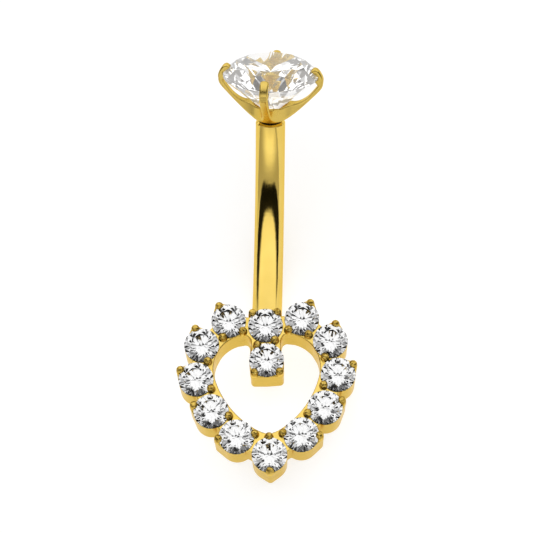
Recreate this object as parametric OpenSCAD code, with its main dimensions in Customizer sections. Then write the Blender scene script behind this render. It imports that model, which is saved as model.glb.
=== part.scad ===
// Curved navel bar with a heart of small round stones at the lower end
// and a single large round stone in a four-prong cup at the upper end.

/* [Bar] */
// Thickness of the bar (14 gauge)
bar_d = 1.6; // [1.2:0.1:2]
// Radius of the bar's curve, at its centre line
arc_r = 9.75; // [8:0.1:12]
// Turn of the curve from its level point up to the rim
arc_up = 27.3; // [15:0.1:35]
// Turn of the curve from its level point down to the bar's end inside the heart
arc_down = 60; // [54:1:66]
// Depth of the bevel round the bar's rim
rim_bevel = 0.12; // [0.05:0.01:0.2]
// Width of the bevel round the bar's rim
rim_bevel_w = 0.15; // [0.05:0.01:0.2]

/* [Heart] */
// How far the stones of the heart stand in front of the bar's end
heart_out = 1.23; // [1.1:0.01:1.34]
// How far the bar's end lies below the middle of the heart's top stone
heart_drop = 1.65; // [1.3:0.01:1.8]
// How far the heart's face looks upward
heart_lean = 19.5; // [10:0.5:30]
// Turn of the heart on its solder joint
heart_turn = 3; // [-5:0.5:5]
// Thickness of the heart's plate
plate_t = 1.87; // [1.5:0.01:2.5]
// How far the plate's face lies behind the stones' girdles
face_drop = 0.08; // [0.04:0.01:0.2]
// Width of the rim that each small stone's seat keeps, at the plate's face
collar_rim = 0.04; // [0.03:0.01:0.15]
// Width of the web that joins neighbouring collars
web_w = 0.7; // [0.4:0.05:1]
// Radius of the open back of a small stone's seat
peep_r = 0.34; // [0.2:0.02:0.5]
// How deep the bar's end sits in the plate
solder_in = 0.3; // [0.2:0.05:0.5]

/* [Heart opening] */
// Centre of the upper lobe, across
lobe_x = 0.97; // [0.8:0.01:1.2]
// Centre of the upper lobe, down
lobe_y = -2.22; // [-2.4:0.01:-1.9]
// Radius of the upper lobe
lobe_r = 1.76; // [1.5:0.01:1.8]
// Centre of the long side curve, across
side_x = -1.82; // [-2.4:0.01:-1.6]
// Centre of the long side curve, down
side_y = -1.5; // [-1.8:0.01:-1]
// Radius of the long side curve
side_r = 4.64; // [4.4:0.01:5.2]
// Radius of the rounded foot of the opening
foot_r = 1.35; // [0.8:0.05:1.6]
// Lowest point of the opening
foot_y = -5.67; // [-5.9:0.01:-5.4]
// Height of the rounded foot before the side curves take over
foot_h = 0.13; // [0.08:0.01:0.2]
// Half width of the neck that holds the inner stone
neck_w = 0.745; // [0.6:0.005:0.85]
// Radius of the corners beside the neck
neck_r = 0.55; // [0.3:0.01:0.7]
// Half width of the square foot under the inner stone
tab_w = 0.8; // [0.7:0.01:0.88]
// How far the square foot reaches below the middle of the inner stone
tab_drop = 0.81; // [0.75:0.01:0.88]

/* [Prongs of the heart] */
// How far a prong's middle stands outside its stone's edge
prong_out = 0.03; // [0:0.01:0.1]
// How far the lowest prong's middle stands inside its stone's edge
tip_prong_in = 0.07; // [0:0.01:0.1]
// Radius of a prong
prong_r = 0.21; // [0.15:0.01:0.26]
// Height of a prong's dome above the girdle
prong_top = 0.32; // [0.25:0.01:0.45]
// Depth of a prong's root below the girdle
prong_root = 0.5; // [0.3:0.05:1]

/* [Stones] */
// Diameter of a small stone
stone_d = 1.78; // [1.6:0.01:1.9]
// Space that the layout of the heart gives between two neighbouring stones
stone_space = 0.12; // [0.1:0.01:0.25]
// Diameter of the large stone
top_stone_d = 5.1; // [4.5:0.05:5.5]
// Width of a table across its corners, as a part of the diameter
table_part = 0.62; // [0.5:0.01:0.66]
// Slope of the crown's main facets
crown_slope = 35.5; // [30:0.5:38]
// Slope of the pavilion's main facets
pavilion_slope = 41; // [38:0.5:43]
// Girdle's thickness, as a part of the diameter
girdle_part = 0.02; // [0.01:0.005:0.04]
// Gap between a stone and its metal
stone_gap = 0.02; // [0.01:0.01:0.05]
// Inner ends of the lower girdle facets, as a part of the radius
low_part = 0.22; // [0.15:0.01:0.3]

/* [Top setting] */
// Height of the large stone's girdle above the bar's rim
girdle_h = 2.6; // [2.3:0.01:3]
// Turn of the four prongs about the post
cup_turn = -6.6; // [-45:0.1:45]
// Width of a prong
cup_prong_w = 0.45; // [0.35:0.01:0.6]
// Radius of the scallops between the prongs, seen from above
scallop_r = 1.1; // [0.8:0.05:1.4]
// Radius of the cup's base
base_r = 0.69; // [0.5:0.01:0.75]
// Gap between the cup's base and the bar's rim
base_gap = 0.09; // [0.05:0.01:0.2]
// How far the prongs stand out past the large stone's edge
cup_out = 0.28; // [0.2:0.01:0.4]
// Radius of the post
post_r = 0.4; // [0.3:0.01:0.45]
// Length of the post inside the bar
post_l = 1.8; // [1.2:0.1:2]
// Gap between the post and its bore
post_gap = 0.05; // [0.03:0.01:0.08]
// Free depth below the post
bore_spare = 0.2; // [0.1:0.05:0.4]
// Height of the prong tips above the large stone's girdle
cup_tip_h = 0.56; // [0.45:0.01:0.65]

/* [Rest] */
// How far the bar leans back as it lies on its belly
rest_back = 59.66; // [50:0.01:75]
// How far it rolls onto one side of the heart
rest_roll = 11; // [0:0.1:30]

/* [Hidden] */
$fn = 96;
gold = [0.86, 0.68, 0.25];
crystal = [0.93, 0.95, 0.98];
// Small overlap where two outlines would only touch.
join = 0.01;
// Each small stone is turned a little further than the one before it.
stone_turn = 37;
bar_r = bar_d / 2;
stone_pitch = stone_d + stone_space;
rim_back = arc_r * cos(arc_up);
rim_drop = arc_r * sin(arc_up);
plate_back = -face_drop - plate_t;
crown_u = (1 - table_part) * tan(crown_slope);
star_u = (table_part * cos(22.5) + 1) / 2;
star_up = (1 - star_u * cos(22.5)) * tan(crown_slope);
pavilion_u = tan(pavilion_slope);
low_down = (1 - low_part * cos(22.5)) * pavilion_u;

// A stone's room in the metal: half its width, and half its girdle's height.
function room_r(d) = d / 2 + stone_gap;
function room_g(d) = room_r(d) * girdle_part + stone_gap / 2;
seat_r = room_r(stone_d) - (face_drop - room_g(stone_d)) / pavilion_u;
collar_r = seat_r + collar_rim;
prong_at = stone_d / 2 + prong_out;
tip_prong_at = stone_d / 2 - tip_prong_in;
cup_r = top_stone_d / 2 + cup_out;
tip_h = girdle_h + cup_tip_h;

// Stones of the right half, counted from the top: across and down, in stone
// pitches, then the directions of their prongs, seen from the front.
side_stones = [
    [0.995, 0.158, [60, -71, -141]],
    [1.737, -0.5, [71, -109.5]],
    [1.905, -1.447, [32.5, -145]],
    [1.516, -2.342, [20, -163]],
    [0.858, -3.058, [-6, 173]]
];
top_place = [0, 0, [134, 47, -61]];
tip_place = [0, -3.574, [90]];
inner_place = [0, -0.974, [119, -134, -45]];

function mirrored(s) = [-s[0], s[1], [for (a = s[2]) 180 - a]];
function spot(s) = [s[0] * stone_pitch, s[1] * stone_pitch, s[2]];
left_stones = [for (i = [len(side_stones) - 1:-1:0]) mirrored(side_stones[i])];
// Round the heart from the top, clockwise, then the inner stone.
ring_spots = [for (s = concat([top_place], side_stones, [tip_place], left_stones)) spot(s)];
tip_spot = spot(tip_place);
inner_spot = spot(inner_place);
spots = concat(ring_spots, [inner_spot]);

// Outline of the cup's prongs from the base to the tips and back down inside.
// Radii are shares of cup_r. Heights run from 0 at the rim over 1 at the large
// stone's girdle to 2 at the tips.
cup_outer = [[0.297, 0.058], [0.44, 0.173], [0.587, 0.315], [0.802, 0.558], [0.97, 0.769],
    [1, 0.908], [1, 0.969], [0.975, 1.214], [0.922, 1.643], [0.866, 1.946]];
cup_inner = [[0.827, 2], [0.802, 1.857], [0.724, 1.357], [0.813, 0.892], [0.265, 0.323],
    [0.106, 0.154], [0, 0.154]];
function cup_point(p) = [p[0] * cup_r, min(p[1], 1) * girdle_h + max(p[1] - 1, 0) * cup_tip_h];
cup_outline = concat([[0, base_gap], [base_r, base_gap]],
    [for (p = concat(cup_outer, cup_inner)) cup_point(p)]);

arc_at = [0, -rim_back, -rim_drop];
bar_end = arc_at + arc_r * [0, cos(arc_down), -sin(arc_down)];
heart_up = [0, sin(heart_lean), cos(heart_lean)];
heart_n = [0, -cos(heart_lean), sin(heart_lean)];
heart_x = cos(heart_turn) * [1, 0, 0] + sin(heart_turn) * heart_up;
heart_y = cos(heart_turn) * heart_up - sin(heart_turn) * [1, 0, 0];
heart_at = bar_end + heart_drop * heart_up + heart_out * heart_n;
rim_y = [0, cos(arc_up), sin(arc_up)];
rim_n = [0, -sin(arc_up), cos(arc_up)];

// The floor's directions as the bar's frame sees them.
floor_x = [cos(rest_roll), -sin(rest_roll) * sin(rest_back), sin(rest_roll) * cos(rest_back)];
floor_y = [0, cos(rest_back), sin(rest_back)];
floor_down = [sin(rest_roll), cos(rest_roll) * sin(rest_back), -cos(rest_roll) * cos(rest_back)];

// How far the heart, the cup and the bar's belly reach in a direction.
function heart_reach(d) = let(v = [d * heart_x, d * heart_y, d * heart_n], w = norm([v[0], v[1]]),
    edge = max(v[2] * plate_back, -v[2] * face_drop),
    lug = max(edge + prong_r * w, prong_r + v[2] * (prong_top - prong_r)))
    d * heart_at + max(tip_spot[1] * v[1] - tip_prong_at * v[1] + lug,
        max([for (s = spots) s[0] * v[0] + s[1] * v[1] + max(edge + collar_r * w,
            lug + prong_at * max([for (a = s[2]) v[0] * cos(a) + v[1] * sin(a)]))]));
function cup_reach(d) = let(v = [d[0], d * rim_y, d * rim_n])
    max([for (a = [0:90:270], side = [-1, 1], p = cup_outline)
        let(e = a + cup_turn + side * asin(min(1, cup_prong_w / 2 / p[0])))
        p[1] * v[2] + p[0] * (v[0] * cos(e) + v[1] * sin(e))]);
function belly_reach(d) = d * arc_at + arc_r * norm([d[1], d[2]]) + bar_r;
function ends_reach(d) = max(heart_reach(d), cup_reach(d));
// Middle of the lying piece, seen from above, and its height over the floor.
rest_mid = [for (d = [floor_x, floor_y]) (ends_reach(d) - ends_reach(-d)) / 2];
rest_lift = max(belly_reach(floor_down), ends_reach(floor_down));

// Stones

// Corners of a brilliant whose girdle's middle lies at 0: table, star
// points, girdle's upper and lower edge, lower girdle facets, culet.
function brilliant_points(r) = r * concat(
    [for (a = [0:45:315]) [table_part * cos(a), table_part * sin(a), girdle_part + crown_u]],
    [for (a = [22.5:45:337.5]) [star_u * cos(a), star_u * sin(a), girdle_part + star_up]],
    [for (a = [0:22.5:337.5]) [cos(a), sin(a), girdle_part]],
    [for (a = [0:22.5:337.5]) [cos(a), sin(a), -girdle_part]],
    [for (a = [22.5:45:337.5]) [low_part * cos(a), low_part * sin(a), -girdle_part - low_down]],
    [[0, 0, -girdle_part - pavilion_u]]
);

module brilliant(d) {
    points = brilliant_points(d / 2);
    hull() polyhedron(points, [[for (i = [0:len(points) - 1]) i]]);
}

// Space that a stone and its gap take out of the metal.
module stone_room(d) {
    r = room_r(d);
    g = room_g(d);
    rotate_extrude() polygon([[0, -g - r * pavilion_u], [r, -g], [r, g],
        [r * star_u, g + r * star_up], [r * table_part, g + r * crown_u], [0, g + r * crown_u]]);
}

// Frames

// Everything is drawn in the bar's frame, with the rim's centre at the origin
// and the wearer behind it, and is then laid down as it rests.
module heart_frame() {
    translate(heart_at) rotate([90 - heart_lean, 0, 0]) rotate([0, 0, heart_turn]) children();
}

module rim_frame() {
    rotate([arc_up, 0, 0]) children();
}

module at_rest() {
    translate([-rest_mid[0], -rest_mid[1], rest_lift])
        rotate([-rest_back, rest_roll, 0]) children();
}

// Heart

module opening_2d() {
    // Where the upper lobe runs over into the long side curve.
    merge_y = lobe_y + lobe_r * (lobe_y - side_y) / norm([lobe_x - side_x, lobe_y - side_y]);
    for (s = [0, 1]) mirror([s, 0]) intersection() {
        translate([side_x, side_y]) circle(side_r);
        translate([-join, 2 * foot_y]) square([lobe_x + lobe_r, -2 * foot_y]);
        union() {
            translate([lobe_x, lobe_y]) circle(lobe_r);
            translate([-join, 2 * foot_y]) square([2 * lobe_r, merge_y - 2 * foot_y]);
        }
        union() {
            translate([0, foot_y + foot_r]) circle(foot_r);
            translate([-join, foot_y + foot_h]) square([2 * lobe_r, -foot_y]);
        }
    }
}

module neck_2d() {
    top = lobe_y + sqrt(lobe_r * lobe_r - (neck_w - lobe_x) * (neck_w - lobe_x));
    translate([-neck_w, inner_spot[1]]) square([2 * neck_w, -inner_spot[1]]);
    translate([-tab_w, inner_spot[1] - tab_drop]) square([2 * tab_w, tab_drop]);
    for (s = [0, 1]) mirror([s, 0]) difference() {
        translate([neck_w - join, top - neck_r]) square([neck_r + join, neck_r + join]);
        translate([neck_w + neck_r, top - neck_r]) circle(neck_r + join / 2);
    }
}

// Foot of one prong with flanks that run out to the collar.
module lug_2d(at) {
    b = acos((collar_r - prong_r) / at);
    c = collar_r - join;
    p = prong_r - join;
    translate([at, 0]) circle(prong_r);
    polygon([[c * cos(b), c * sin(b)], [c * cos(b), -c * sin(b)],
        [at + p * cos(b), -p * sin(b)], [at + p * cos(b), p * sin(b)]]);
}

module ring_2d() {
    n = len(ring_spots);
    polygon([for (s = ring_spots) [s[0], s[1]]]);
    for (i = [0:n - 1]) {
        a = ring_spots[i];
        b = ring_spots[(i + 1) % n];
        l = norm([b[0] - a[0], b[1] - a[1]]);
        translate([a[0], a[1]]) rotate(atan2(b[1] - a[1], b[0] - a[0]))
            translate([0, -web_w / 2]) square([l, web_w]);
    }
}

module each_prong() {
    for (s = spots, a = s[2]) translate([s[0], s[1]]) rotate(a) children();
}

module plate_2d() {
    difference() {
        ring_2d();
        opening_2d();
    }
    neck_2d();
    for (s = spots) translate([s[0], s[1]]) circle(collar_r);
    each_prong() lug_2d(prong_at);
    translate([tip_spot[0], tip_spot[1]]) rotate(-90) lug_2d(tip_prong_at);
}

module prong() {
    translate([0, 0, -prong_root]) cylinder(h = prong_root + prong_top - prong_r, r = prong_r);
    translate([0, 0, prong_top - prong_r]) sphere(prong_r);
}

module heart_metal() {
    difference() {
        union() {
            translate([0, 0, plate_back]) linear_extrude(plate_t) plate_2d();
            each_prong() translate([prong_at, 0, 0]) prong();
            translate([tip_spot[0], tip_spot[1] - tip_prong_at, 0]) prong();
        }
        for (s = spots) translate([s[0], s[1], 0]) stone_room(stone_d);
        // The first and the last seat stay closed, because the bar's end is behind them.
        for (i = [1:len(spots) - 2]) translate([spots[i][0], spots[i][1], plate_back - peep_r])
            cylinder(h = plate_t + peep_r, r = peep_r);
    }
}

// Bar

module bar_rod() {
    difference() {
        translate(arc_at) rotate([90, 0, 90]) rotate(-arc_down)
            rotate_extrude(angle = arc_down + arc_up) translate([arc_r, 0]) circle(bar_r);
        heart_frame() translate([-bar_d, tip_spot[1], plate_back + solder_in])
            cube([2 * bar_d, collar_r - tip_spot[1], 4 * plate_t]);
        rim_frame() translate([0, 0, -post_l - bore_spare])
            cylinder(h = post_l + bore_spare + bar_r, r = post_r + post_gap);
        rim_frame() rotate_extrude() polygon([
            [bar_r - rim_bevel_w, 0], [bar_r + rim_bevel_w, -2 * rim_bevel],
            [bar_r + rim_bevel_w, bar_r], [bar_r - rim_bevel_w, bar_r]]);
    }
}

module bar_with_heart() {
    color(gold) at_rest() {
        bar_rod();
        heart_frame() heart_metal();
    }
}

module heart_stone(i) {
    color(crystal) at_rest() heart_frame()
        translate([spots[i][0], spots[i][1], 0]) rotate(stone_turn * i) brilliant(stone_d);
}

// Top

module cup_plan_2d() {
    h = cup_prong_w / 2;
    c = h + scallop_r;
    difference() {
        union() {
            for (a = [0, 90]) rotate(a) square([3 * cup_r, cup_prong_w], center = true);
            square([2 * c, 2 * c], center = true);
        }
        for (a = [0:90:270]) rotate(a) translate([c, c]) circle(scallop_r + join / 2);
    }
}

// Everything up to the shoulders of the prongs, and their round ends.
module prong_ends() {
    shoulder = tip_h - cup_prong_w / 2;
    cylinder(h = shoulder, r = 2 * cup_r);
    for (a = [0:90:270]) rotate(a) translate([0, 0, shoulder])
        rotate([0, 90, 0]) cylinder(h = 2 * cup_r, r = cup_prong_w / 2 + join / 2);
}

module top_setting() {
    color(gold) at_rest() rim_frame() rotate(cup_turn) difference() {
        union() {
            intersection() {
                rotate_extrude() polygon(cup_outline);
                linear_extrude(2 * girdle_h) cup_plan_2d();
                prong_ends();
            }
            translate([0, 0, -post_l]) cylinder(h = post_l + 2 * base_gap, r = post_r);
        }
        translate([0, 0, girdle_h]) stone_room(top_stone_d);
    }
}

module top_stone() {
    color(crystal) at_rest() rim_frame() translate([0, 0, girdle_h])
        rotate(22.5) brilliant(top_stone_d);
}

bar_with_heart();
heart_stone(0);  // heart_stone_01
heart_stone(1);  // heart_stone_02
heart_stone(2);  // heart_stone_03
heart_stone(3);  // heart_stone_04
heart_stone(4);  // heart_stone_05
heart_stone(5);  // heart_stone_06
heart_stone(6);  // heart_stone_07
heart_stone(7);  // heart_stone_08
heart_stone(8);  // heart_stone_09
heart_stone(9);  // heart_stone_10
heart_stone(10);  // heart_stone_11
heart_stone(11);  // heart_stone_12
heart_stone(12);  // heart_stone_13
top_setting();
top_stone();
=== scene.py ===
import math

import bmesh
import bpy
import numpy as np
from mathutils import Matrix, Vector


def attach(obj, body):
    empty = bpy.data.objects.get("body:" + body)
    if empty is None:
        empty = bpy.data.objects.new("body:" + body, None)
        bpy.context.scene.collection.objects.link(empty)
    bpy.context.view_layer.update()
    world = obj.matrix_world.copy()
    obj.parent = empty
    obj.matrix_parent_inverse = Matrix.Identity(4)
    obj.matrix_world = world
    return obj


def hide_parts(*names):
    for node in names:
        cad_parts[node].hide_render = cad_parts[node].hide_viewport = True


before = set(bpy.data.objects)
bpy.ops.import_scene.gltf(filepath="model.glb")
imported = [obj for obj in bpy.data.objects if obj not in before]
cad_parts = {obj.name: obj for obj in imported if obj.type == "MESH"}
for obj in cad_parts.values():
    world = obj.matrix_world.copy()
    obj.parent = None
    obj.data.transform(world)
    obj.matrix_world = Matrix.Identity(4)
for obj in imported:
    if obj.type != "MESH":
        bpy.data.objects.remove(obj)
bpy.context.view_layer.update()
scene = bpy.context.scene

MM, TINY = 0.001, 1e-9

# Sizes in mm and angles, as in the CAD
REST_BACK, REST_ROLL = math.radians(59.66), math.radians(11)
BAR_R, ARC_R = 0.8, 9.75
ARC_UP, ARC_DOWN = math.radians(27.3), math.radians(60)
RIM_BEVEL, RIM_BEVEL_W = 0.12, 0.15
HEART_OUT, HEART_DROP = 1.23, 1.65
HEART_LEAN, HEART_TURN = math.radians(19.5), math.radians(3)
PLATE_T, FACE_DROP, COLLAR_RIM = 1.87, 0.08, 0.04
WEB_W, PEEP_R, SOLDER_IN = 0.7, 0.34, 0.3
LOBE, LOBE_R = (0.97, -2.22), 1.76
SIDE, SIDE_R = (-1.82, -1.5), 4.64
FOOT_R, FOOT_Y, FOOT_H = 1.35, -5.67, 0.13
NECK_W, TAB_W, TAB_DROP = 0.745, 0.8, 0.81
PRONG_R, PRONG_TOP, PRONG_ROOT = 0.21, 0.32, 0.5
PRONG_OUT, TIP_PRONG_IN = 0.03, 0.07
STONE_D, STONE_SPACE, STONE_GAP, TOP_STONE_D = 1.78, 0.12, 0.02, 5.1
TABLE, GIRDLE, LOW = 0.62, 0.02, 0.22
CROWN, PAVILION = math.radians(35.5), math.radians(41)
STONE_TURN = math.radians(37)
GIRDLE_H, CUP_TIP_H, CUP_PRONG_W = 2.6, 0.56, 0.45
CUP_TURN = math.radians(-6.6)
BASE_R, BASE_GAP = 0.69, 0.09
POST_R, POST_L, POST_GAP, BORE_SPARE = 0.4, 1.8, 0.05, 0.2
# Stones of the right half: place in stone pitches, and directions of the prongs in degrees
SIDE_STONES = [
    (0.995, 0.158, (60, -71, -141)),
    (1.737, -0.5, (71, -109.5)),
    (1.905, -1.447, (32.5, -145)),
    (1.516, -2.342, (20, -163)),
    (0.858, -3.058, (-6, 173)),
]
CLEFT_STONE, TIP_STONE = (0, 0, (134, 47, -61)), (0, -3.574, (90,))
INNER_STONE = (0, -0.974, (119, -134, -45))

# Sizes in mm that only the scene has: the cup's slimmer arms as distances from its
# axis and heights above the rim, the post's thread, the radii of edges and fillets,
# and the boxes and grid steps in which the heart's and the cup's surfaces are found.
CUP_OUTER = [(0.84, 0.15), (1.245, 0.45), (1.66, 0.82), (2.27, 1.45), (2.745, 2), (2.83, 2.36),
             (2.83, 2.52), (2.76, 2.72), (2.61, 2.96), (2.45, 3.13), (2.34, 3.16)]
CUP_TIP, CUP_FLOOR = [(2.27, 3.08), (2.05, 2.8)], [(0.3, 0.4), (0, 0.4)]
CUP_INNER = [(2.55, 2.16), (2.12, 1.6), (1.78, 1.31), (1.41, 1.13), (1, 1.05), (0.75, 0.84)]
SCALLOP_R, CUP_EDGE, CUP_SEAT_EDGE = 1.5, 0.1, 0.03
POST_IN, POST_EDGE, POST_FILLET = 0.15, 0.06, 0.04
THREAD_PITCH, THREAD_DEPTH, THREAD_TOP, THREAD_FADE = 0.25, 0.06, -0.35, 0.2
BEVEL_EDGE, RIM_EDGE, BORE_EDGE = 0.04, 0.025, 0.03
OPENING_EDGE, WEB_EDGE, TAB_EDGE, PLATE_EDGE = 0.1, 0.03, 0.04, 0.05
NECK_FILLET, NECK_REACH = 0.44, 0.4
COLLAR_FILLET, PRONG_FILLET, SEAT_EDGE, PEEP_EDGE = 0.05, 0.05, 0.02, 0.03
SOLDER_FILLET, SOLDER_INSET, SOLDER_BACK, SOLDER_TOP = 0.14, 0.004, 0.9, 1.4
HEART_BOX, HEART_GRID = ((-5, -8.1, -2.95), (5, 1.63, 0.45)), 0.06
CUP_BOX, CUP_GRID = ((-3, -3, -1.9), (3, 3, 3.3)), 0.04
# Corners nearer to each other than this part of a grid step become one.
JOIN_PART = 1 / 15

# Sizes that follow from the others
PITCH = STONE_D + STONE_SPACE
PLATE_BACK = -FACE_DROP - PLATE_T
BORE_R, BORE_L = POST_R + POST_GAP, POST_L + BORE_SPARE
TIP_H = GIRDLE_H + CUP_TIP_H


def room_sizes(d):
    """Radius of a stone's room in the metal, and half the height of its straight part."""
    r = d / 2 + STONE_GAP
    return r, r * GIRDLE + STONE_GAP / 2


def mirrored(stone):
    x, y, directions = stone
    return -x, y, tuple(180 - a for a in directions)


room_r, room_g = room_sizes(STONE_D)
COLLAR_R = room_r - (FACE_DROP - room_g) / math.tan(PAVILION) + COLLAR_RIM
RING = [CLEFT_STONE] + SIDE_STONES + [TIP_STONE] + [mirrored(s) for s in reversed(SIDE_STONES)]
SPOTS = [(x * PITCH, y * PITCH, directions) for x, y, directions in RING + [INNER_STONE]]
TIP_NUMBER, INNER_NUMBER = RING.index(TIP_STONE), len(RING)

# Frames, in mm. The bar's frame has its origin in the middle of the rim, z runs up
# along the wearer and -y towards the viewer of the photo. The rim's frame has z out of
# the bar's end. The heart's has z out of its face, and its origin in the cleft's stone.
side_x = np.array([1.0, 0, 0])
arc_at = np.array([0, -ARC_R * math.cos(ARC_UP), -ARC_R * math.sin(ARC_UP)])
bar_end = arc_at + ARC_R * np.array([0, math.cos(ARC_DOWN), -math.sin(ARC_DOWN)])
heart_up = np.array([0, math.sin(HEART_LEAN), math.cos(HEART_LEAN)])
heart_out = np.array([0, -math.cos(HEART_LEAN), math.sin(HEART_LEAN)])
heart_at = bar_end + HEART_DROP * heart_up + HEART_OUT * heart_out
BAR_AXES = np.eye(3)
RIM_AXES = np.array([
    [1, 0, 0],
    [0, math.cos(ARC_UP), math.sin(ARC_UP)],
    [0, -math.sin(ARC_UP), math.cos(ARC_UP)],
])
HEART_AXES = np.array([
    math.cos(HEART_TURN) * side_x + math.sin(HEART_TURN) * heart_up,
    math.cos(HEART_TURN) * heart_up - math.sin(HEART_TURN) * side_x,
    heart_out,
])
TURN = np.array(Matrix.Rotation(REST_ROLL, 3, "Y") @ Matrix.Rotation(-REST_BACK, 3, "X"))


def mesh_points(mesh):
    flat = np.empty(len(mesh.vertices) * 3, np.float32)
    mesh.vertices.foreach_get("co", flat)
    return flat.reshape(-1, 3).astype(float)


def set_mesh_points(mesh, points):
    mesh.vertices.foreach_set("co", np.ascontiguousarray(points, np.float32).ravel())
    mesh.update()


def cad_points(name):
    """The corners of a CAD piece in the row frame, in mm."""
    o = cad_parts[name]
    at = np.array(o.matrix_world)
    return (mesh_points(o.data) @ at[:3, :3].T + at[:3, 3]) / MM


def frame_shift():
    """Where the bar frame's origin lies. The large stone's lower tip is known in both frames."""
    corners = cad_points("top_stone")
    lower_tip = corners[(corners @ (RIM_AXES[2] @ TURN.T)).argmin()]
    tip_height = GIRDLE_H - TOP_STONE_D / 2 * (GIRDLE + math.tan(PAVILION))
    return lower_tip - TURN @ (RIM_AXES[2] * tip_height)


SHIFT = frame_shift()


def to_row(points):
    """Points in the bar's frame, in mm, to the row frame, in metres."""
    return (np.asarray(points, float) @ TURN.T + SHIFT) * MM


def turned(v):
    """A direction in the bar's frame to the row frame."""
    return np.asarray(v, float) @ TURN.T


def from_heart(p):
    return np.asarray(p) @ HEART_AXES + heart_at


def from_rim(p):
    return np.asarray(p) @ RIM_AXES


# Distance fields, negative inside
def outer_round(a, b, r):
    """What lies in both, with the edge between them rounded."""
    return np.minimum(np.maximum(a, b), -r) + np.hypot(np.maximum(a + r, 0), np.maximum(b + r, 0))


def inner_round(a, b, r):
    """What lies in either, with a fillet between them."""
    return np.maximum(np.minimum(a, b), r) - np.hypot(np.maximum(r - a, 0), np.maximum(r - b, 0))


def slab(t, low, high):
    """What lies between two levels."""
    return np.abs(t - (low + high) / 2) - (high - low) / 2


def polygon_distance(x, y, outline):
    squared = np.full(x.shape, np.inf)
    inside = np.zeros(x.shape, bool)
    for (ax, ay), (bx, by) in zip(outline, outline[1:] + outline[:1]):
        ex, ey = bx - ax, by - ay
        t = np.clip(((x - ax) * ex + (y - ay) * ey) / (ex * ex + ey * ey), 0, 1)
        squared = np.minimum(squared, (x - ax - ex * t) ** 2 + (y - ay - ey * t) ** 2)
        if ay != by:
            inside ^= ((ay > y) != (by > y)) & (x < ax + (y - ay) * ex / ey)
    d = np.sqrt(squared)
    return np.where(inside, -d, d)


def tapered(x, y, wide, narrow, length):
    """Hull of a wide circle at the origin and a narrow one at (length, 0)."""
    y = np.abs(y)
    b = (wide - narrow) / length
    a = math.sqrt(1 - b * b)
    k = a * x - b * y
    flank_or_tip = np.where(k > a * length, np.hypot(x - length, y) - narrow, a * y + b * x - wide)
    return np.where(k < 0, np.hypot(x, y) - wide, flank_or_tip)


def room(rho, z, d):
    """Space of a stone with its gap: a cone below the girdle, a lower one above it."""
    r, g = room_sizes(d)
    pavilion = (rho - r) * math.sin(PAVILION) - (z + g) * math.cos(PAVILION)
    crown = (rho - r) * math.sin(CROWN) + (z - g) * math.cos(CROWN)
    table = z - g - r * (1 - TABLE) * math.tan(CROWN)
    return np.maximum(np.maximum(pavilion, rho - r), np.maximum(crown, table))


def prongs(number, directions):
    """Each prong of a small stone: cosine and sine of its direction, and how far out it stands."""
    places = [(a, STONE_D / 2 + PRONG_OUT) for a in directions]
    if number == TIP_NUMBER:
        places.append((-90, STONE_D / 2 - TIP_PRONG_IN))
    return [(math.cos(math.radians(a)), math.sin(math.radians(a)), out) for a, out in places]


def opening(x, y):
    """The heart's opening: a lobe and a long curve on each side, and a round foot."""
    x = np.abs(x)
    side = np.hypot(x - SIDE[0], y - SIDE[1]) - SIDE_R
    dx, dy = LOBE[0] - SIDE[0], LOBE[1] - SIDE[1]
    tangent_y = LOBE[1] + LOBE_R * dy / math.hypot(dx, dy)
    lobe = np.minimum(np.hypot(x - LOBE[0], y - LOBE[1]) - LOBE_R, y - tangent_y)
    foot = np.minimum(np.hypot(x, y - FOOT_Y - FOOT_R) - FOOT_R, FOOT_Y + FOOT_H - y)
    return np.maximum(outer_round(side, foot, OPENING_EDGE), lobe)


def plate_plan(x, y):
    """The plate from the front: web, neck, tab, and each stone's collar with its prongs' roots."""
    web = polygon_distance(x, y, [s[:2] for s in SPOTS[:INNER_NUMBER]]) - WEB_W / 2
    web = outer_round(web, -opening(x, y), WEB_EDGE)
    inner_y = SPOTS[INNER_NUMBER][1]
    neck = outer_round(np.abs(x) - NECK_W, slab(y, inner_y - NECK_REACH, 0), WEB_EDGE)
    plan = inner_round(web, neck, NECK_FILLET)
    tab = outer_round(np.abs(x) - TAB_W, slab(y, inner_y - TAB_DROP, inner_y), TAB_EDGE)
    plan = np.minimum(plan, tab)
    reach = 1.5
    for number, (sx, sy, directions) in enumerate(SPOTS):
        near = (np.abs(x - sx) < reach) & (np.abs(y - sy) < reach)
        px, py = x[near] - sx, y[near] - sy
        d = inner_round(plan[near], np.hypot(px, py) - COLLAR_R, COLLAR_FILLET)
        for c, s, out in prongs(number, directions):
            d = np.minimum(d, tapered(c * px + s * py, c * py - s * px, COLLAR_R, PRONG_R, out))
        plan[near] = d
    return plan


def solder(p):
    """Solder round the bar's end, behind the plate. It is a hair thinner than the bar itself."""
    q = from_heart(p) - arc_at
    y, z = p[:, 1], p[:, 2]
    rod = np.hypot(np.hypot(q[:, 1], q[:, 2]) - ARC_R, q[:, 0]) - BAR_R + SOLDER_INSET
    ends = np.maximum(z - PLATE_BACK - SOLDER_IN, PLATE_BACK - SOLDER_BACK - z)
    return np.maximum(rod, np.maximum(ends, y - SOLDER_TOP))


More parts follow.
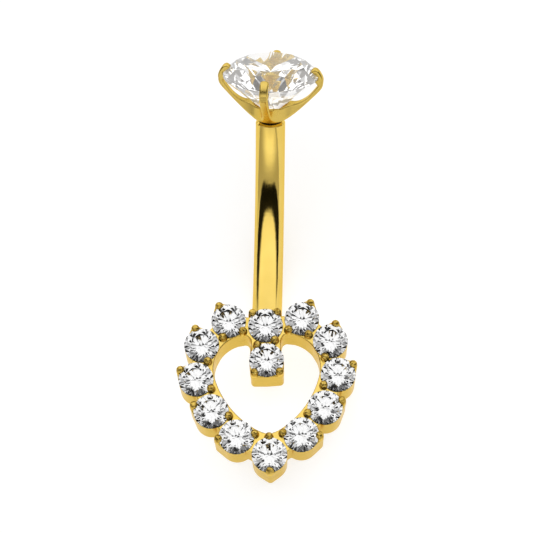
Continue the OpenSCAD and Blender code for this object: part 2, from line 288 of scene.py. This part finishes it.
def heart_field(p):
    """The plate with its solder, beads, seats and open backs."""
    x, y, z = p.T
    f = outer_round(plate_plan(x, y), slab(z, PLATE_BACK, -FACE_DROP), PLATE_EDGE)
    f = inner_round(f, solder(p), SOLDER_FILLET)
    reach = 1.3
    for number, (sx, sy, directions) in enumerate(SPOTS):
        near = (np.abs(x - sx) < reach) & (np.abs(y - sy) < reach)
        px, py, pz, d = x[near] - sx, y[near] - sy, z[near], f[near]
        past = pz - np.clip(pz, -PRONG_ROOT, PRONG_TOP - PRONG_R)
        for c, s, out in prongs(number, directions):
            prong = np.sqrt((px - out * c) ** 2 + (py - out * s) ** 2 + past ** 2) - PRONG_R
            d = inner_round(d, prong, PRONG_FILLET)
        rho = np.hypot(px, py)
        d = outer_round(d, -room(rho, pz, STONE_D), SEAT_EDGE)
        # The seats of the cleft's and the inner stone are closed, with the bar behind them.
        if 0 < number < INNER_NUMBER:
            d = outer_round(d, PEEP_R - rho, PEEP_EDGE)
        f[near] = d
    return f


def smooth_curve(points, parts):
    """A curve through points, with each stretch in a number of parts."""
    p = np.array([points[0]] + points + [points[-1]], float)
    t = np.linspace(0, 1, parts, endpoint=False)[:, None]
    stretches = []
    for a, b, c, d in zip(p, p[1:], p[2:], p[3:]):
        straight = 2 * b + (c - a) * t
        stretches.append(0.5 * (straight + (2 * a - 5 * b + 4 * c - d) * t ** 2
                                + (3 * b - a - 3 * c + d) * t ** 3))
    return np.concatenate(stretches + [p[-1:]]).tolist()


CUP_PROFILE = ([(0, BASE_GAP), (BASE_R, BASE_GAP)] + smooth_curve(CUP_OUTER, 6)
               + CUP_TIP + smooth_curve(CUP_INNER, 4) + CUP_FLOOR)


def post(x, y, z):
    """The cup's post, with a thread that fades out at its top."""
    around = np.arctan2(y, x) / (2 * math.pi)
    groove = np.abs((z / THREAD_PITCH - around) % 1 - 0.5) * 2
    fade = np.clip((THREAD_TOP - z) / THREAD_FADE, 0, 1)
    wall = np.hypot(x, y) - POST_R + THREAD_DEPTH * groove * fade
    return outer_round(wall, slab(z, -POST_L, BASE_GAP + POST_IN), POST_EDGE)


def cup_field(p):
    """Four arms with scallops between them, the large stone's seat, and the post."""
    c, s = math.cos(CUP_TURN), math.sin(CUP_TURN)
    x, y, z = p.T
    across, along = np.abs(c * x + s * y), np.abs(c * y - s * x)
    half = CUP_PRONG_W / 2
    plan = inner_round(across - half, along - half, SCALLOP_R)
    shoulder = TIP_H - half
    head = np.hypot(np.minimum(across, along), z - shoulder) - half
    plan = np.where(z > shoulder, head, plan)
    rho = np.hypot(across, along)
    # Farther off, the wall's distance makes no difference.
    reach = 0.3
    near = (plan < reach) & (z > -reach)
    wall = np.full(len(p), 1.0)
    wall[near] = polygon_distance(rho[near], z[near], CUP_PROFILE)
    f = outer_round(wall, plan, CUP_EDGE)
    f = outer_round(f, -room(rho, z - GIRDLE_H, TOP_STONE_D), CUP_SEAT_EDGE)
    return inner_round(f, post(x, y, z), POST_FILLET)


# Meshes
def surface_net(field, low, high, step):
    """Quads on a field's zero surface, with one corner in each grid cell that it crosses."""
    low = np.array(low, float)
    size = np.ceil((np.array(high) - low) / step).astype(int) + 1
    xs, ys, zs = [start + step * np.arange(n) for start, n in zip(low, size)]
    y, z = np.meshgrid(ys, zs, indexing="ij")
    value = np.empty(size)
    for i, x in enumerate(xs):
        p = np.stack([np.full(y.size, x), y.ravel(), z.ravel()], 1)
        value[i] = field(p).reshape(y.shape)
    inside = value < 0
    points, number = cell_corners(value, inside, low, step)
    quads = []
    for axis in range(3):
        b, c = (axis + 1) % 3, (axis + 2) % 3
        at = np.argwhere(np.diff(inside, axis=axis))
        at = at[(at[:, b] > 0) & (at[:, c] > 0) & (at[:, b] < size[b] - 1) & (at[:, c] < size[c] - 1)]
        ring = []
        for db, dc in ((-1, -1), (0, -1), (0, 0), (-1, 0)):
            cell = at.copy()
            cell[:, b] += db
            cell[:, c] += dc
            ring.append(number[tuple(cell.T)])
        ring = np.stack(ring, 1)
        starts_outside = ~inside[tuple(at.T)]
        ring[starts_outside] = ring[starts_outside][:, ::-1]
        quads.append(ring)
    return points, np.concatenate(quads)


def cell_corners(value, inside, low, step):
    """For each cell, the middle of the places where its edges cross the surface."""
    cells = np.array(value.shape) - 1
    place, count = np.zeros((*cells, 3)), np.zeros(cells)

    def shifted(a, o):
        return a[o[0]:o[0] + cells[0], o[1]:o[1] + cells[1], o[2]:o[2] + cells[2]]

    for axis in range(3):
        for u, v in ((0, 0), (0, 1), (1, 0), (1, 1)):
            start = [0, 0, 0]
            start[(axis + 1) % 3] = u
            start[(axis + 2) % 3] = v
            end = list(start)
            end[axis] = 1
            hit = shifted(inside, start) != shifted(inside, end)
            first, second = shifted(value, start), shifted(value, end)
            t = np.where(hit, first / np.where(hit, first - second, 1), 0)
            for k in range(3):
                place[..., k] += hit * (t if k == axis else start[k])
            count += hit
    crossed = count > 0
    number = np.full(cells, -1)
    number[crossed] = np.arange(crossed.sum())
    return low + step * (np.argwhere(crossed) + place[crossed] / count[crossed][:, None]), number


def gradient(field, p):
    probe = 0.004
    g = np.empty(p.shape)
    for k in range(3):
        o = np.zeros(3)
        o[k] = probe
        g[:, k] = (field(p + o) - field(p - o)) / (2 * probe)
    return g


def settle(field, p, step, rounds):
    """Moves points onto the zero surface, by at most half a grid step in a round."""
    least_slope = 0.2
    for _ in range(rounds):
        g = gradient(field, p)
        move = -field(p)[:, None] * g / np.maximum((g * g).sum(1), least_slope)[:, None]
        length = np.linalg.norm(move, axis=1)
        p = p + move * np.minimum(1, 0.5 * step / np.maximum(length, TINY))[:, None]
    return p


def add_mesh(name, points, quads, material):
    mesh = bpy.data.meshes.new(name)
    mesh.vertices.add(len(points))
    mesh.loops.add(quads.size)
    mesh.loops.foreach_set("vertex_index", quads.astype(np.int32).ravel())
    mesh.polygons.add(len(quads))
    mesh.polygons.foreach_set("loop_start", np.arange(0, quads.size, 4, dtype=np.int32))
    mesh.vertices.foreach_set("co", np.ascontiguousarray(points, np.float32).ravel())
    mesh.update(calc_edges=True)
    mesh.validate()
    mesh.shade_smooth()
    mesh.materials.append(material)
    o = bpy.data.objects.new(name, mesh)
    scene.collection.objects.link(o)
    return o


def join_close_corners(mesh, distance):
    joined = bmesh.new()
    joined.from_mesh(mesh)
    bmesh.ops.remove_doubles(joined, verts=joined.verts, dist=distance)
    joined.to_mesh(mesh)
    joined.free()


def add_field_piece(name, field, box, step, placed, axes, material):
    """A piece bounded by a field's zero surface. Returns its corners in the field's frame too."""
    points, quads = surface_net(field, *box, step)
    o = add_mesh(name, settle(field, points, step, 3), quads, material)
    join_close_corners(o.data, step * JOIN_PART)
    points = settle(field, mesh_points(o.data), step, 2)
    normals = gradient(field, points)
    normals /= np.maximum(np.linalg.norm(normals, axis=1), TINY)[:, None]
    set_mesh_points(o.data, to_row(placed(points)))
    o.data.shade_smooth()
    o.data.normals_split_custom_set_from_vertices(turned(normals @ axes).tolist())
    return o, points


# Shader nodes
class Nodes:
    """Adds nodes to a material or world. An input is a plain value or another node's output."""

    def __init__(self, owner):
        owner.use_nodes = True
        self.tree = owner.node_tree

    def fill(self, node, inputs):
        for key, value in inputs.items():
            if isinstance(value, bpy.types.NodeSocket):
                self.tree.links.new(value, node.inputs[key])
            else:
                node.inputs[key].default_value = value

    def add(self, kind, inputs, **settings):
        node = self.tree.nodes.new(kind)
        for name, value in settings.items():
            setattr(node, name, value)
        self.fill(node, inputs)
        return node

    def coordinates(self, kind):
        return self.add("ShaderNodeTexCoord", {}).outputs[kind]

    def math(self, operation, *values, clamp=False):
        inputs = dict(enumerate(values))
        return self.add("ShaderNodeMath", inputs, operation=operation, use_clamp=clamp).outputs[0]

    def vector_math(self, operation, *values):
        inputs = dict(enumerate(values))
        return self.add("ShaderNodeVectorMath", inputs, operation=operation).outputs["Value"]

    def between(self, value, start, end, low=0, high=1, steps="LINEAR"):
        """Low up to the start and high from the end on."""
        inputs = {"Value": value, "From Min": start, "From Max": end, "To Min": low, "To Max": high}
        return self.add("ShaderNodeMapRange", inputs, interpolation_type=steps).outputs["Result"]

    def soft_between(self, value, start, end, low=0, high=1):
        return self.between(value, start, end, low, high, "SMOOTHSTEP")

    def mix(self, share, colour, other):
        inputs = {"Factor": share, "A": colour, "B": other}
        return self.add("ShaderNodeMix", inputs, data_type="RGBA").outputs["Result"]

    def noise(self, at, scale, detail, low, high):
        """Clouds. Most values of a noise lie between 0.3 and 0.7, and become low to high."""
        inputs = {"Vector": at, "Scale": scale, "Detail": detail}
        cloud = self.add("ShaderNodeTexNoise", inputs)
        return self.between(cloud.outputs["Fac"], 0.3, 0.7, low, high)

    def bump(self, height, distance, under=None, strength=1):
        """Bumps of up to a distance in mm, on top of those of another bump node."""
        inputs = {"Height": height, "Distance": distance * MM, "Strength": strength}
        if under is not None:
            inputs["Normal"] = under
        return self.add("ShaderNodeBump", inputs).outputs["Normal"]

    def local_mm(self, axes, stretch):
        """Coordinates along a frame's own axes, in mm, each multiplied by its stretch."""
        at = self.coordinates("Object")
        parts = {}
        for k in range(3):
            along = [float(v) * stretch[k] / MM for v in turned(axes[k])]
            parts[k] = self.vector_math("DOT_PRODUCT", at, along)
        return self.add("ShaderNodeCombineXYZ", parts).outputs[0]


def shader(name):
    """A new material, its nodes, and the Principled shader among them."""
    material = bpy.data.materials.new(name)
    nodes = Nodes(material)
    return material, nodes, nodes.tree.nodes["Principled BSDF"]


def grey(value):
    return value, value, value, 1


def tinted(colour, share):
    return [v * share for v in colour] + [1]


# Materials
GOLD, GOLD_DEEP, GOLD_EDGE = (0.82, 0.592, 0.148), (0.77, 0.543, 0.12), (1, 0.86, 0.5, 1)
# The bead and seat colours below are painted shade, and the stone glow is painted light.
BEAD_SHADE, PAINTED_SHADE, STONE_GLOW = (0.28, 0.165, 0.02, 1), (0.035, 0.03, 0.022, 1), (1, 0.97, 0.93, 1)
WALL_SHADE_SHARE, STONE_IOR = 0.8, 2.17
# Depths of bumps, and heights above the small stones' girdles between which the painted
# shade of wall and bead sets in, in mm
SWELL_DEPTH, DENT_DEPTH = 0.0035, 0.035
WALL_TOP, WALL_FULL, BEAD_FOOT, BEAD_FULL = -0.11, -0.2, 0, 0.08


def gold_material(name, axes, stretch, rough, lines, share=1, beads=False):
    """Polished gold-coloured coat: cloudy wear, fine lines along one direction and soft swells.

    Stretch gives the lines' density along the three axes, and lines is their depth in mm.
    A share under 1 makes the coat darker, as painted shade. Where there are beads, the walls get
    painted shade too, and the beads are uneven, as the setter's tool leaves them, with dark flecks of
    painted shade.
    """
    material, nodes, surface = shader(name)
    plain = nodes.local_mm(axes, (1, 1, 1))
    drawn = nodes.local_mm(axes, stretch)
    clouds = nodes.noise(plain, 0.55, 3, 0, 1)
    colour = nodes.mix(clouds, tinted(GOLD, share), tinted(GOLD_DEEP, share))
    hair = nodes.noise(drawn, 1, 2, 0, 1)
    swells = nodes.noise(plain, 1.1, 2, 0, 1)
    normal = nodes.bump(swells, SWELL_DEPTH, nodes.bump(hair, lines))
    if beads:
        above = above_girdles(nodes, plain)
        # Painted shade: the plate's walls below the girdles are darker.
        painted_wall_shade = nodes.between(above, WALL_TOP, WALL_FULL)
        colour = nodes.mix(painted_wall_shade, colour, tinted(GOLD_DEEP, WALL_SHADE_SHARE))
        on_bead = nodes.between(above, BEAD_FOOT, BEAD_FULL)
        # Painted shade: dark flecks on the beads.
        painted_shade_flecks = nodes.noise(plain, 6, 2, 0.1, 1)
        colour = nodes.mix(nodes.math("MULTIPLY", painted_shade_flecks, on_bead), colour, BEAD_SHADE)
        dents = nodes.noise(plain, 4.5, 2, 0, 1)
        normal = nodes.bump(dents, DENT_DEPTH, normal, on_bead)
    wear = nodes.noise(plain, 1.3, 5, rough * 0.75, rough * 1.35)
    fine = nodes.noise(drawn, 1, 3, -0.02, 0.03)
    nodes.fill(surface, {
        "Base Color": colour,
        "Metallic": 1,
        "Roughness": nodes.math("ADD", wear, fine, clamp=True),
        "Specular Tint": GOLD_EDGE,
        "Normal": normal,
    })
    return material


def above_girdles(nodes, at):
    """Height above the small stones' girdles, in mm, of a place along the heart's axes."""
    parts = nodes.add("ShaderNodeSeparateXYZ", {0: at})
    level = float(heart_out @ heart_at + turned(heart_out) @ SHIFT)
    return nodes.math("SUBTRACT", parts.outputs["Z"], level)


def painted_shade_material():
    """Painted shade: near-black dull metal in the seats and under the cup, which light hardly reaches."""
    material, nodes, surface = shader("painted_shade_metal")
    rough = nodes.noise(nodes.local_mm(BAR_AXES, (1, 1, 1)), 9, 3, 0.5, 0.75)
    nodes.fill(surface, {"Base Color": PAINTED_SHADE, "Metallic": 0.6, "Roughness": rough})
    return material


def stone_material(name, tint, outer, glow):
    """Colourless cut stone. Outer weakens its surface's own reflection, and glow is painted light that
    lifts its darks.
    """
    material, nodes, surface = shader(name)
    nodes.fill(surface, {
        "Base Color": grey(tint),
        "Transmission Weight": 1,
        "IOR": STONE_IOR,
        "Roughness": 0,
        "Specular Tint": grey(outer),
        "Emission Color": STONE_GLOW,
        "Emission Strength": glow,
    })
    return material


gold_bar = gold_material("gold_bar", BAR_AXES, (14, 1.2, 1.2), 0.07, 0.0004)
# Shares under 1 paint the heart's and the cup's coats darker, as painted shade.
gold_heart = gold_material("gold_heart", HEART_AXES, (0.8, 0.8, 11), 0.2, 0.003, share=0.97, beads=True)
gold_cup = gold_material("gold_cup", RIM_AXES, (5, 5, 1.5), 0.24, 0.0012, share=0.83)
# Near-black metal, painted shade for the seats and the gap under the cup.
painted_shade_metal = painted_shade_material()
clear_small = stone_material("clear_small_stone", 0.7, 0.12, 0)
# The large stone's glow is painted light.
clear_large = stone_material("clear_large_stone", 0.88, 0.3, 0.06)
for name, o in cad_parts.items():
    o.data.materials.clear()
    o.data.materials.append(clear_small if "stone" in name else gold_heart)


def paint_shade(o, points, test):
    """Gives the painted shade metal to the faces whose middles, between two opposite corners, pass the
    test.
    """
    mesh = o.data
    mesh.materials.append(painted_shade_metal)
    corners = np.empty(len(mesh.loops), np.int32)
    mesh.loops.foreach_get("vertex_index", corners)
    first = np.empty(len(mesh.polygons), np.int32)
    mesh.polygons.foreach_get("loop_start", first)
    middle = (points[corners[first]] + points[corners[first + 2]]) / 2
    mesh.polygons.foreach_set("material_index", test(middle).astype(np.int32))
    mesh.update()


# Heart
def in_seat(p):
    """Under a small stone, inside its seat, down to a little before the plate's back."""
    radius, low, high = 0.86, PLATE_BACK + 0.25, -0.09
    x, y, z = p.T
    inside = np.zeros(len(p), bool)
    for sx, sy, _ in SPOTS:
        inside |= np.hypot(x - sx, y - sy) < radius
    return inside & (z > low) & (z < high)


heart, heart_points = add_field_piece("heart_plate", heart_field, HEART_BOX, HEART_GRID,
                                      from_heart, HEART_AXES, gold_heart)
# The seats get painted shade.
paint_shade(heart, heart_points, in_seat)
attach(heart, "bar")
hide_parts("bar_with_heart")


# Bar
def rounded_edge(r, z, start, end, radius):
    """Part of a ring's profile: places and normals round an edge, for a turn from start to end."""
    turn = [(math.cos(a), math.sin(a)) for a in np.linspace(start, end, 6)]
    return [(r + radius * c, z + radius * s, c, s) for c, s in turn]


def bore_and_rim():
    """Distance from the axis, height above the rim, and normal, from the bevel to the bore's floor.

    Where an edge is sharp, two rings lie close together with normals of their own.
    """
    slope = math.atan2(RIM_BEVEL_W, RIM_BEVEL)
    quarter = math.pi / 2
    bevel_z = -RIM_BEVEL - BEVEL_EDGE * math.tan(slope / 2)
    rim_r = BAR_R - RIM_BEVEL_W - RIM_EDGE * math.tan((quarter - slope) / 2)
    sharp, middle = 0.001, 0.01
    return (rounded_edge(BAR_R - BEVEL_EDGE, bevel_z, 0, slope, BEVEL_EDGE)
            + rounded_edge(rim_r, -RIM_EDGE, slope, quarter, RIM_EDGE)
            + rounded_edge(BORE_R + BORE_EDGE, -BORE_EDGE, quarter, math.pi, BORE_EDGE)
            + [(BORE_R, -BORE_L, -1, 0), (BORE_R - sharp, -BORE_L, 0, 1), (middle, -BORE_L, 0, 1)])


def bar_mesh():
    """The bent rod with its rim and bore, as rings of points with normals, and their quads."""
    around, along, before_bevel = 128, 200, 0.05
    phi = np.linspace(0, 2 * math.pi, around, endpoint=False)
    sine, cosine = np.sin(phi)[:, None], np.cos(phi)[:, None]
    # The lower end is flat and lies inside the plate, along it.
    depth = PLATE_BACK + SOLDER_IN - (arc_at - heart_at) @ heart_out
    low = -np.arccos(-depth / (ARC_R + BAR_R * np.sin(phi))) - HEART_LEAN
    high = ARC_UP - (RIM_BEVEL + before_bevel) / ARC_R
    points, normals = [], []
    for u in np.linspace(0, 1, along):
        turn = low + u * (high - low)
        outward = np.stack([0 * turn, np.cos(turn), np.sin(turn)], 1)
        normals.append(sine * outward + cosine * side_x)
        points.append(arc_at + ARC_R * outward + BAR_R * normals[-1])
    rim_x, rim_y, rim_z = RIM_AXES
    radial = cosine * rim_x + sine * rim_y
    for r, z, normal_r, normal_z in bore_and_rim():
        points.append(r * radial + z * rim_z)
        normals.append(normal_r * radial + normal_z * rim_z)
    # Two more rings make the flat end, the larger of them close to the first ring.
    middle = points[0].mean(0)
    points = [middle + (points[0] - middle) * share for share in (0.01, 0.999)] + points
    normals = [np.tile(heart_out, (around, 1))] * 2 + normals

    i = np.arange(around)
    ring = np.stack([i, (i + 1) % around, (i + 1) % around + around, i + around], 1)
    quads = [ring + k * around for k in range(len(points) - 1)]
    # Each end closes with quads across its smallest ring.
    k = np.arange(around // 2 - 1)
    lid = np.stack([k, k + 1, around - 2 - k, around - 1 - k], 1)
    quads += [lid[:, ::-1], lid + (len(points) - 1) * around]
    return np.concatenate(points), np.concatenate(normals), np.concatenate(quads)


def under_cup(p):
    """In the narrow gap between cup and rim."""
    radius, low, high = 0.72, -0.3, 0.1
    x, y, z = p.T
    return (np.hypot(x, y) < radius) & (z > low) & (z < high)


points, normals, quads = bar_mesh()
bar = add_mesh("bar", to_row(points), quads, gold_bar)
bar.data.normals_split_custom_set_from_vertices(turned(normals).tolist())
# The rim's inner top under the cup gets painted shade.
paint_shade(bar, points @ RIM_AXES.T, under_cup)
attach(bar, "bar")

# Cup
cup, cup_points = add_field_piece("cup", cup_field, CUP_BOX, CUP_GRID, from_rim, RIM_AXES, gold_cup)
# The cup's underside above the rim gets painted shade.
paint_shade(cup, cup_points, under_cup)
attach(cup, "top")
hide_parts("top_setting")


# Stones
def facet_planes():
    """Normal and distance of each plane of a round brilliant of radius 1, with 57 facets."""
    q = math.pi / 8
    table_z = GIRDLE + (1 - TABLE) * math.tan(CROWN)
    star_r = (TABLE * math.cos(q) + 1) / 2
    star_z = GIRDLE + (1 - star_r * math.cos(q)) * math.tan(CROWN)
    low_z = -GIRDLE - (1 - LOW * math.cos(q)) * math.tan(PAVILION)
    culet = np.array([0, 0, -GIRDLE - math.tan(PAVILION)])
    planes = [(np.array([0, 0, 1.0]), table_z)]

    def polar(r, a, z):
        return np.array([r * math.cos(a), r * math.sin(a), z])

    def facet(a, b, c):
        n = np.cross(b - a, c - a)
        n /= np.linalg.norm(n)
        d = n @ a
        planes.append((n, d) if d > 0 else (-n, -d))

    for a in 2 * q * np.arange(8):
        table, star, low = polar(TABLE, a, table_z), polar(star_r, a + q, star_z), polar(LOW, a + q, low_z)
        facet(table, star, polar(1, a, GIRDLE))
        facet(table, polar(TABLE, a + 2 * q, table_z), star)
        facet(polar(1, a, -GIRDLE), low, culet)
        for b in (a, a + 2 * q):
            facet(star, polar(1, a + q, GIRDLE), polar(1, b, GIRDLE))
            facet(low, polar(1, a + q, -GIRDLE), polar(1, b, -GIRDLE))
    around = 96
    for k in range(around):
        planes.append((polar(1, 2 * math.pi * (k + 0.5) / around, 0), math.cos(math.pi / around)))
    return planes


def cut(shape, n, d):
    """The part of a convex outline that lies behind a plane."""
    over = [n @ w - d for w in shape]
    if max(over) <= TINY:
        return shape
    kept = []
    for here, h, there, t in zip(shape, over, shape[1:] + shape[:1], over[1:] + over[:1]):
        if h <= TINY:
            kept.append(here)
        if min(h, t) < -TINY and max(h, t) > TINY:
            kept.append(here + (there - here) * (h / (h - t)))
    return kept


def brilliant():
    """A mesh of the facets: each plane's wide square, cut by all the other planes."""
    wide, same_place = 3, 1e-5
    planes = facet_planes()
    corners, faces = [], []
    for i, (n, d) in enumerate(planes):
        u = np.cross(n, [1, 0, 0] if abs(n[0]) < 0.7 else [0, 1, 0])
        u /= np.linalg.norm(u)
        v = np.cross(n, u)
        shape = [n * d + wide * (x * u + y * v) for x, y in ((-1, -1), (1, -1), (1, 1), (-1, 1))]
        for j, other in enumerate(planes):
            if i != j and shape:
                shape = cut(shape, *other)
        face = []
        for w in shape:
            same = [k for k, corner in enumerate(corners) if abs(corner - w).max() < same_place]
            if not same:
                corners.append(w)
                same = [len(corners) - 1]
            if same[0] not in face:
                face.append(same[0])
        if len(face) > 2:
            faces.append(face)
    mesh = bpy.data.meshes.new("brilliant")
    mesh.from_pydata([tuple(w) for w in corners], [], faces)
    mesh.update()
    return mesh


cut_stone = brilliant()


def add_stone(name, d, turn, place, material, body, node):
    """A stone turned about its own axis and placed by a function. It replaces a CAD node."""
    mesh = cut_stone.copy()
    mesh.name = name
    spin = np.array(Matrix.Rotation(turn, 3, "Z"))
    set_mesh_points(mesh, to_row(place(mesh_points(mesh) @ spin.T * (d / 2))))
    mesh.shade_flat()
    mesh.materials.clear()
    mesh.materials.append(material)
    o = bpy.data.objects.new(name, mesh)
    scene.collection.objects.link(o)
    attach(o, body)
    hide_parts(node)


for i, (sx, sy, _) in enumerate(SPOTS):
    add_stone(f"small_stone_{i + 1:02d}", STONE_D, STONE_TURN * i,
              lambda p: from_heart(p + [sx, sy, 0]), clear_small, "bar", f"heart_stone_{i + 1:02d}")
add_stone("large_stone", TOP_STONE_D, 0,
          lambda p: from_rim(p + [0, 0, GIRDLE_H]), clear_large, "top", "top_stone")


# Camera, at the photo's angle and distance. Lengths are in mm, the aim's from the rim's middle.
VIEW_DISTANCE, FIELD, SENSOR = 90.0, 28.81, 36
YAW, ROLL = math.radians(1.3), math.radians(0.9)
AIM_ACROSS, AIM_DOWN = 0.216, 7.919
CLIP_START, CLIP_END = 5, 10000


def add_camera():
    """Returns the camera's place in the bar's frame."""
    level = np.array([math.cos(YAW), math.sin(YAW), 0])
    back = np.array([math.sin(YAW), -math.cos(YAW), 0])
    up = np.array([0, 0, 1.0])
    right = level * math.cos(ROLL) + up * math.sin(ROLL)
    top = up * math.cos(ROLL) - level * math.sin(ROLL)
    eye = -AIM_ACROSS * right - AIM_DOWN * top + VIEW_DISTANCE * back
    axes = np.stack([turned(right), turned(top), turned(back)], 1)
    camera = bpy.data.objects.new("camera", bpy.data.cameras.new("camera"))
    scene.collection.objects.link(camera)
    camera.matrix_world = Matrix.Translation(to_row(eye)) @ Matrix(axes.tolist()).to_4x4()
    camera.data.sensor_width = SENSOR
    camera.data.lens = SENSOR * VIEW_DISTANCE / FIELD
    camera.data.clip_start = CLIP_START * MM
    camera.data.clip_end = CLIP_END * MM
    scene.camera = camera
    return eye


eye = add_camera()

# World. A white tent, open at the front at the camera's height. The opening's edges
# climb towards the sides, so a dark seam runs up on each side. All angles are in
# degrees. The lists by height: the tent's light in front and at the sides, and the
# angles aside between which the one turns into the other.
TENT, DARK = 1.27, 0.985
FRONT_LIGHT = [(-90, 0.42), (-60, 0.47), (-52, 0.56), (-45, 0.85), (-39, 1.05), (-31, 1), (-25, 0.86),
               (-20, 0.6), (-14, 0.46), (0, 0.46), (6, 0.86), (12, 0.93), (20, 1.01), (32, 1.04),
               (45, 0.98), (90, 0.88)]
SIDE_LIGHT = [(-90, 0.3), (-40, 0.36), (-10, 0.4), (0, 0.42), (10, 0.75), (30, 0.85), (50, 0.92),
              (90, 0.88)]
NEAR_EDGE = [(-90, 15), (-5, 15), (6, 50), (90, 60)]
FAR_EDGE = [(-90, 95), (-5, 95), (6, 120), (90, 130)]
# The lists by angle aside: the opening's upper edge, the edge's blur, and the lower edge
UPPER_EDGE = [(0, 7.9), (20, 8.2), (35, 9.8), (45, 12.7), (55, 16.8), (65, 21.5), (75, 26), (85, 31.5),
              (95, 36), (120, 40), (180, 40)]
UPPER_BLUR = [(0, 1.8), (30, 2.5), (50, 5), (70, 7), (180, 7)]
LOWER_EDGE = [(0, -10.2), (40, -9.9), (47, -8.8), (57, -6), (67, -2.2), (77, 1.8), (85, 7), (95, 10.5),
              (105, 17), (115, 30), (180, 41)]
LOWER_BLUR, OPENING_MIDDLE, OPENING_END = 1.3, -5, (97, 114)


def curve(nodes, value, stops):
    """Straight lines between (value, result) stops."""
    start, end = stops[0][0], stops[-1][0]
    least, most = min(v for _, v in stops), max(v for _, v in stops)
    ramp = nodes.add("ShaderNodeValToRGB", {"Fac": nodes.between(value, start, end)})
    elements = ramp.color_ramp.elements
    while len(elements) < len(stops):
        elements.new(0.5)
    for element, (x, _) in zip(elements, stops):
        element.position = (x - start) / (end - start)
    for element, (_, v) in zip(elements, stops):
        element.color = grey((v - least) / (most - least))
    return nodes.math("MULTIPLY_ADD", ramp.outputs["Color"], most - least, least)


def add_world():
    world = bpy.data.worlds.new("world")
    scene.world = world
    nodes = Nodes(world)
    toward = nodes.coordinates("Generated")

    def along(v):
        return nodes.vector_math("DOT_PRODUCT", toward, [float(x) for x in turned(v)])

    degree = 180 / math.pi
    height = nodes.math("MULTIPLY", nodes.math("ARCSINE", along((0, 0, 1))), degree)
    across = nodes.math("ARCTAN2", along((1, 0, 0)), along((0, -1, 0)))
    across = nodes.math("MULTIPLY", across, degree)
    aside = nodes.math("ABSOLUTE", nodes.math("SUBTRACT", across, OPENING_MIDDLE))

    front = curve(nodes, height, FRONT_LIGHT)
    side = curve(nodes, height, SIDE_LIGHT)
    near_edge = curve(nodes, height, NEAR_EDGE)
    far_edge = curve(nodes, height, FAR_EDGE)
    share = nodes.soft_between(aside, near_edge, far_edge, 1, 0)
    tent = nodes.math("MULTIPLY_ADD", share, nodes.math("SUBTRACT", front, side), side)

    past_upper = nodes.math("SUBTRACT", height, curve(nodes, aside, UPPER_EDGE))
    past_upper = nodes.math("DIVIDE", past_upper, curve(nodes, aside, UPPER_BLUR))
    past_lower = nodes.math("SUBTRACT", height, curve(nodes, aside, LOWER_EDGE))
    under = nodes.soft_between(past_upper, -1, 1, 1, 0)
    over = nodes.soft_between(past_lower, -LOWER_BLUR, LOWER_BLUR)
    within = nodes.soft_between(aside, *OPENING_END, 1, 0)
    dark = nodes.math("MULTIPLY", within, nodes.math("MULTIPLY", over, under))
    left = nodes.math("MULTIPLY_ADD", dark, -DARK * TENT, TENT)
    strength = nodes.math("MULTIPLY", tent, left)
    nodes.fill(nodes.tree.nodes["Background"], {"Color": grey(1), "Strength": strength})


add_world()

# Floor, in metres. Its colour and glow paint a pool of light that fades to grey far from the piece.
# A soft spot of painted light lies where the heart's opening, at a place in the heart's frame, shows the
# floor.
FLOOR_SIZE, FADE, FADED = 1.2, (0.024, 0.075), 0.45
FLOOR_TONE, FLOOR_GLOW = 0.44, 0.62
SPOT_SEEN, SPOT_FADE, SPOT_GLOW = (0, -3.4, 0), (0.0015, 0.0085), 0.2


def floor_material():
    material, nodes, surface = shader("floor")
    at = nodes.coordinates("Object")
    # Painted pool of light: colour and glow fall off to grey far from the piece.
    fade = nodes.soft_between(nodes.vector_math("LENGTH", at), *FADE, 1, FADED)
    seen = to_row(from_heart(SPOT_SEEN))
    sight = seen - to_row(eye)
    on_floor = seen - sight * seen[2] / sight[2]
    away = nodes.vector_math("DISTANCE", at, (on_floor[0], on_floor[1], 0))
    # Painted light: a soft bright spot on the floor under the heart's opening.
    painted_light_spot = nodes.soft_between(away, *SPOT_FADE, SPOT_GLOW, 0)
    nodes.fill(surface, {
        "Base Color": nodes.math("MULTIPLY", fade, FLOOR_TONE),
        "Roughness": 0.8,
        "Specular IOR Level": 0.2,
        "Emission Color": grey(1),
        "Emission Strength": nodes.math("MULTIPLY_ADD", fade, FLOOR_GLOW, painted_light_spot),
    })
    return material


bpy.ops.mesh.primitive_plane_add(size=FLOOR_SIZE)
floor = bpy.context.object
floor.name = "floor"
floor.data.materials.append(floor_material())

# Lamp, a soft disk to the right, far in front and above. Its size is in metres, and its
# place and aim are in the bar's frame.
KEY_AT, KEY_AIM = np.array([69, -148, 69]), np.array([0, 0, -7])
KEY_SIZE, KEY_POWER = 0.3, 0.04


def add_key():
    key = bpy.data.objects.new("key", bpy.data.lights.new("key", "AREA"))
    key.data.shape = "DISK"
    key.data.size = KEY_SIZE
    key.data.energy = KEY_POWER
    key.visible_glossy = False
    scene.collection.objects.link(key)
    key.location = to_row(KEY_AT)
    key.rotation_mode = "QUATERNION"
    key.rotation_quaternion = Vector(turned(KEY_AT - KEY_AIM)).to_track_quat("Z", "Y")


add_key()
scene.view_settings.view_transform = "Standard"
